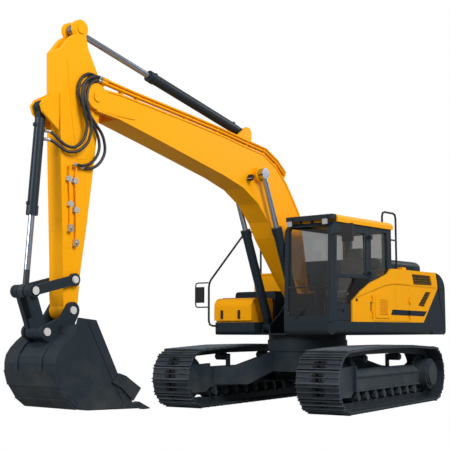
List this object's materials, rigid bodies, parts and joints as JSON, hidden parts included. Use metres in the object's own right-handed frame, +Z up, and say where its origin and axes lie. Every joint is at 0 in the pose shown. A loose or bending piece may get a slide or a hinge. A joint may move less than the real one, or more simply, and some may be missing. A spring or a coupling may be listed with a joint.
{
  "type": "crawler excavator",
  "caption": "Hydraulic crawler excavator with a swinging cab and machine room, a one-piece boom, an arm and a toothed bucket worked by hydraulic rams.",
  "frame": {"origin": "on the swing axis at the ground, under the middle of the tracks", "axes": "+X forward along the boom, +Y to the cab side, +Z up; the tracks stand turned 8 degrees under the upper structure, as in the picture"},
  "size_m": [9.1147, 3.9299, 5.4297],
  "materials": {
    "yellow": "gloss",
    "dark": "satin",
    "track": "rough",
    "rod": "polished",
    "glass": "clear",
    "plastic": "matte",
    "fabric": "woven",
    "engine": "rough",
    "rubber": "matte",
    "lamp": "lens"
  },
  "bodies": {
    "undercarriage": {"car_body": "dark", "slew_ring": "dark", "track_frames": "dark", "track_left": "track", "track_right": "track", "sprockets": "dark", "idlers": "dark", "track_rollers": "track"},
    "boom": {"boom": "yellow", "boom_pipes": "yellow", "boom_lamp": "lamp", "hose_1": "rubber", "hose_2": "rubber", "hose_3": "rubber", "hose_4": "rubber"},
    "arm": {"arm": "yellow", "arm_pipes": "yellow", "stop_valves": "dark"},
    "bucket": {"bucket": "dark", "bucket_teeth": "dark"},
    "cab_door": {"cab_door": "dark", "door_glass": "glass"},
    "toolbox_lid": {"toolbox_lid": "yellow", "lid_rubber": "rubber"},
    "boom_barrel_left": {"boom_barrel_left": "dark"},
    "boom_barrel_right": {"boom_barrel_right": "dark"},
    "boom_rod_left": {"boom_rod_left": "rod"},
    "boom_rod_right": {"boom_rod_right": "rod"},
    "arm_barrel": {"arm_barrel": "dark"},
    "arm_rod": {"arm_rod": "rod"},
    "bucket_barrel": {"bucket_barrel": "dark"},
    "bucket_rod": {"bucket_rod": "rod"},
    "guide_links": {"guide_links": "dark"},
    "push_link": {"push_link": "dark"},
    "louvre_door": {"louvre_door": "yellow"},
    "cooler_door": {"cooler_door": "yellow"},
    "pump_door": {"pump_door": "yellow"},
    "engine_hood": {"engine_hood": "dark"},
    "upper": {"revolving_frame": "dark", "counterweight": "dark", "engine_block": "engine", "left_panel": "yellow", "right_tank": "dark", "right_panel": "yellow", "middle_wall": "dark", "cab_shell": "dark", "cab_roof": "yellow", "cab_glass": "glass", "seat": "fabric", "controls": "plastic", "toolbox": "yellow", "handrails": "plastic", "mirrors": "plastic", "side_grilles": "plastic", "cab_visor": "dark", "work_lamps": "lamp", "cab_trim": "plastic"}
  },
  "joints": [
    {"name": "swing", "type": "hinge", "parent": "undercarriage", "child": "upper", "pos_m": [0, 0, 1.1], "axis": [0, 0, 1], "continuous": true},
    {"name": "boom_lift", "type": "hinge", "parent": "upper", "child": "boom", "pos_m": [0.15, 0, 1.78], "axis": [0, -1, 0], "range_deg": [-70, 34]},
    {"name": "arm_reach", "type": "hinge", "parent": "boom", "child": "arm", "pos_m": [5.1829, 0, 4.39996], "axis": [0, 1, 0], "range_deg": [-82, 32], "deforming": ["hose_1", "hose_2", "hose_3", "hose_4"]},
    {"name": "bucket_curl", "type": "hinge", "parent": "arm", "child": "bucket", "pos_m": [5.54812, 0, 1.50894], "axis": [0, 1, 0], "range_deg": [-70, 70]},
    {"name": "guide_turn", "type": "hinge", "parent": "arm", "child": "guide_links", "pos_m": [5.51543, 0, 1.9072], "axis": [0, 1, 0], "range_deg": [-43.4, 43.4]},
    {"name": "push_turn", "type": "hinge", "parent": "bucket", "child": "push_link", "pos_m": [5.97415, 0, 1.23115], "axis": [0, 1, 0], "range_deg": [-42, 42]},
    {"name": "bucket_barrel_turn", "type": "hinge", "parent": "arm", "child": "bucket_barrel", "pos_m": [5.98201, 0, 4.14258], "axis": [0, 1, 0], "range_deg": [-1.97, 1.97]},
    {"name": "bucket_rod_slide", "type": "slide", "parent": "bucket_barrel", "child": "bucket_rod", "axis": [0.0802, 0, -0.9968], "range_m": [-0.4944, 0.4944]},
    {"name": "arm_barrel_turn", "type": "hinge", "parent": "boom", "child": "arm_barrel", "pos_m": [1.79918, 0, 4.44879], "axis": [0, 1, 0], "range_deg": [-1.48, 0.58]},
    {"name": "arm_rod_slide", "type": "slide", "parent": "arm_barrel", "child": "arm_rod", "axis": [0.9736, 0, 0.2283], "range_m": [-1.1554, 0.4509]},
    {"name": "boom_barrel_left_turn", "type": "hinge", "parent": "upper", "child": "boom_barrel_left", "pos_m": [0.66, 0.325, 1.31], "axis": [0, -1, 0], "range_deg": [-69.13, 33.58]},
    {"name": "boom_rod_left_slide", "type": "slide", "parent": "boom_barrel_left", "child": "boom_rod_left", "axis": [0.3769, 0, 0.9263], "range_m": [-0.7481, 0.3633]},
    {"name": "boom_barrel_right_turn", "type": "hinge", "parent": "upper", "child": "boom_barrel_right", "pos_m": [0.66, -0.325, 1.31], "axis": [0, -1, 0], "range_deg": [-69.13, 33.58]},
    {"name": "boom_rod_right_slide", "type": "slide", "parent": "boom_barrel_right", "child": "boom_rod_right", "axis": [0.3769, 0, 0.9263], "range_m": [-0.7481, 0.3633]},
    {"name": "cab_door_hinge", "type": "hinge", "parent": "upper", "child": "cab_door", "pos_m": [0.10255, 1.39, 2.2], "axis": [0, 0, 1], "range_deg": [0, 160]},
    {"name": "louvre_door_hinge", "type": "hinge", "parent": "upper", "child": "louvre_door", "pos_m": [0.077, 1.3846, 1.8], "axis": [0, 0, 1], "range_deg": [-100, 0]},
    {"name": "cooler_door_hinge", "type": "hinge", "parent": "upper", "child": "cooler_door", "pos_m": [-1.157, 1.3846, 1.8], "axis": [0, 0, -1], "range_deg": [-100, 0]},
    {"name": "pump_door_hinge", "type": "hinge", "parent": "upper", "child": "pump_door", "pos_m": [-0.703, -1.3846, 1.8], "axis": [0, 0, 1], "range_deg": [0, 100]},
    {"name": "hood_hinge", "type": "hinge", "parent": "upper", "child": "engine_hood", "pos_m": [-0.7857, 0, 2.3146], "axis": [0, 1, 0], "range_deg": [0, 60]},
    {"name": "toolbox_hinge", "type": "hinge", "parent": "upper", "child": "toolbox_lid", "pos_m": [0.334, -0.915, 1.794], "axis": [0, -1, 0], "range_deg": [0, 70]}
  ],
  "couplings": [
    {"joint": "guide_turn", "follows": "bucket_curl", "ratio": 0.62},
    {"joint": "push_turn", "follows": "bucket_curl", "ratio": -0.6},
    {"joint": "bucket_barrel_turn", "follows": "bucket_curl", "ratio": 0.0281},
    {"joint": "bucket_rod_slide", "follows": "bucket_curl", "m_per_rad": 0.4047},
    {"joint": "arm_barrel_turn", "follows": "arm_reach", "ratio": 0.018},
    {"joint": "arm_rod_slide", "follows": "arm_reach", "m_per_rad": 0.8073},
    {"joint": "boom_barrel_left_turn", "follows": "boom_lift", "ratio": 0.9876},
    {"joint": "boom_rod_left_slide", "follows": "boom_lift", "m_per_rad": 0.6123},
    {"joint": "boom_barrel_right_turn", "follows": "boom_lift", "ratio": 0.9876},
    {"joint": "boom_rod_right_slide", "follows": "boom_lift", "m_per_rad": 0.6123}
  ]
}
